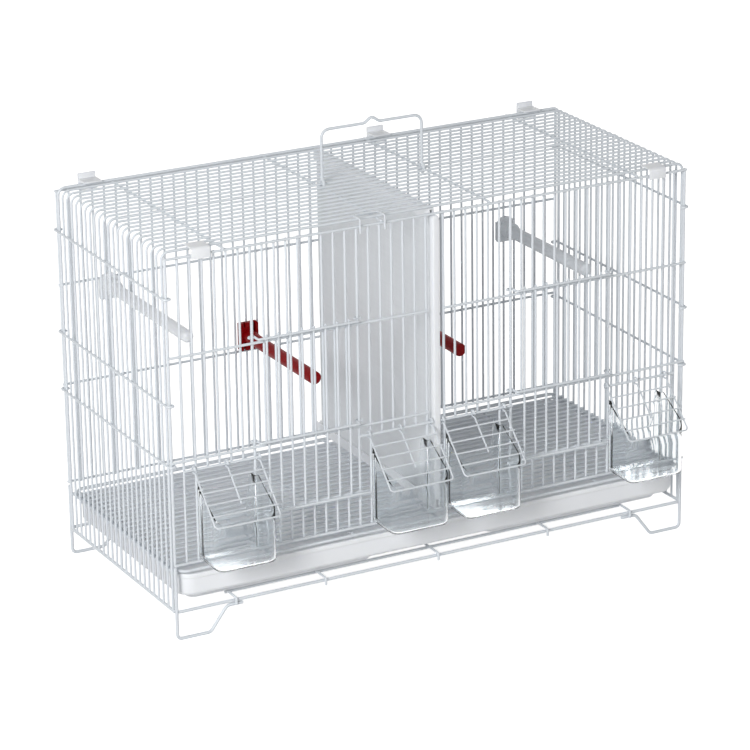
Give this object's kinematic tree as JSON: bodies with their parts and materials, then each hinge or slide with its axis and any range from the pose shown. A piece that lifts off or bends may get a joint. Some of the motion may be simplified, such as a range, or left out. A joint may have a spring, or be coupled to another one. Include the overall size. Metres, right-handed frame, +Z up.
{
  "type": "canary breeding cage",
  "caption": "White wire double breeding cage for canaries with a sliding divider, lifting doors, outside feeders with wire flaps, slide-out grille and tray, and a folding handle.",
  "frame": {"origin": "centre of the outline's footprint, on the floor under the feet", "axes": "+X to the cage's right seen from the front, +Y from the front panel to the back, +Z up"},
  "size_m": [0.609, 0.3186, 0.4745],
  "materials": {
    "white_wire": "gloss",
    "white_plastic": "gloss",
    "grey_plastic": "satin",
    "red_plastic": "gloss",
    "blue_panel": "matt",
    "clear_plastic": "clear gloss"
  },
  "bodies": {
    "cage": {"back_panel": "white_wire", "base_wire_back": "white_wire", "base_wire_front": "white_wire", "divider_floor_guide": "white_plastic", "divider_roof_guide": "white_plastic", "foot_back_left": "white_wire", "foot_back_right": "white_wire", "foot_front_left": "white_wire", "foot_front_right": "white_wire", "front_panel": "white_wire", "left_wall": "white_wire", "right_wall": "white_wire", "roof": "white_wire", "roof_clip_back_left": "white_plastic", "roof_clip_back_middle": "white_plastic", "roof_clip_back_right": "white_plastic", "roof_clip_front_left": "white_plastic", "roof_clip_front_right": "white_plastic", "roof_staple": "white_wire", "tray_rack": "white_wire"},
    "tray": {"tray": "white_plastic"},
    "floor_grille": {"floor_grille": "white_wire"},
    "divider": {"divider": "blue_panel"},
    "door_left": {"door_left": "white_wire"},
    "door_right": {"door_right": "white_wire"},
    "feeder_outer_left": {"feeder_outer_left": "clear_plastic"},
    "flap_outer_left": {"flap_outer_left": "white_wire"},
    "feeder_inner_left": {"feeder_inner_left": "clear_plastic"},
    "flap_inner_left": {"flap_inner_left": "white_wire"},
    "feeder_outer_right": {"feeder_outer_right": "clear_plastic"},
    "flap_outer_right": {"flap_outer_right": "white_wire"},
    "feeder_inner_right": {"feeder_inner_right": "clear_plastic"},
    "flap_inner_right": {"flap_inner_right": "white_wire"},
    "handle": {"handle": "white_wire"},
    "perch_white_left": {"perch_white_left": "white_plastic"},
    "perch_red_left": {"perch_red_left": "red_plastic"},
    "perch_red_right": {"perch_red_right": "red_plastic"},
    "perch_grey_right": {"perch_grey_right": "grey_plastic"}
  },
  "joints": [
    {"name": "tray_slide", "type": "slide", "parent": "cage", "child": "tray", "axis": [0, -1, 0], "range_m": [0, 0.25]},
    {"name": "floor_grille_slide", "type": "slide", "parent": "cage", "child": "floor_grille", "axis": [0, -1, 0], "range_m": [0, 0.25]},
    {"name": "divider_slide", "type": "slide", "parent": "cage", "child": "divider", "axis": [0, -1, 0], "range_m": [0, 0.25]},
    {"name": "door_left_lift", "type": "slide", "parent": "cage", "child": "door_left", "axis": [0, 0, 1], "range_m": [0, 0.09]},
    {"name": "door_right_lift", "type": "slide", "parent": "cage", "child": "door_right", "axis": [0, 0, 1], "range_m": [0, 0.09]},
    {"name": "feeder_outer_left_slide", "type": "slide", "parent": "cage", "child": "feeder_outer_left", "axis": [0, -1, 0], "range_m": [0, 0.055]},
    {"name": "flap_outer_left_hinge", "type": "hinge", "parent": "cage", "child": "flap_outer_left", "pos_m": [-0.23988, -0.11151, 0.181], "axis": [-1, 0, 0], "range_deg": [0, 86]},
    {"name": "feeder_inner_left_slide", "type": "slide", "parent": "cage", "child": "feeder_inner_left", "axis": [0, -1, 0], "range_m": [0, 0.055]},
    {"name": "flap_inner_left_hinge", "type": "hinge", "parent": "cage", "child": "flap_inner_left", "pos_m": [-0.04284, -0.11151, 0.181], "axis": [-1, 0, 0], "range_deg": [0, 86]},
    {"name": "feeder_outer_right_slide", "type": "slide", "parent": "cage", "child": "feeder_outer_right", "axis": [0, -1, 0], "range_m": [0, 0.055]},
    {"name": "flap_outer_right_hinge", "type": "hinge", "parent": "cage", "child": "flap_outer_right", "pos_m": [0.23988, -0.11151, 0.181], "axis": [-1, 0, 0], "range_deg": [0, 86]},
    {"name": "feeder_inner_right_slide", "type": "slide", "parent": "cage", "child": "feeder_inner_right", "axis": [0, -1, 0], "range_m": [0, 0.055]},
    {"name": "flap_inner_right_hinge", "type": "hinge", "parent": "cage", "child": "flap_inner_right", "pos_m": [0.04284, -0.11151, 0.181], "axis": [-1, 0, 0], "range_deg": [0, 86]},
    {"name": "handle_fold", "type": "hinge", "parent": "cage", "child": "handle", "pos_m": [0, 0.02209, 0.409], "axis": [1, 0, 0], "range_deg": [-70, 70]},
    {"name": "perch_white_left_pull", "type": "slide", "parent": "cage", "child": "perch_white_left", "axis": [0, -1, 0], "range_m": [0, 0.03]},
    {"name": "perch_red_left_pull", "type": "slide", "parent": "cage", "child": "perch_red_left", "axis": [0, -1, 0], "range_m": [0, 0.03]},
    {"name": "perch_red_right_pull", "type": "slide", "parent": "cage", "child": "perch_red_right", "axis": [0, -1, 0], "range_m": [0, 0.03]},
    {"name": "perch_grey_right_pull", "type": "slide", "parent": "cage", "child": "perch_grey_right", "axis": [0, -1, 0], "range_m": [0, 0.03]}
  ],
  "couplings": [
    {"joint": "flap_outer_left_hinge", "follows": "feeder_outer_left_slide", "rad_per_m": 27},
    {"joint": "flap_inner_left_hinge", "follows": "feeder_inner_left_slide", "rad_per_m": 27},
    {"joint": "flap_outer_right_hinge", "follows": "feeder_outer_right_slide", "rad_per_m": 27},
    {"joint": "flap_inner_right_hinge", "follows": "feeder_inner_right_slide", "rad_per_m": 27}
  ]
}
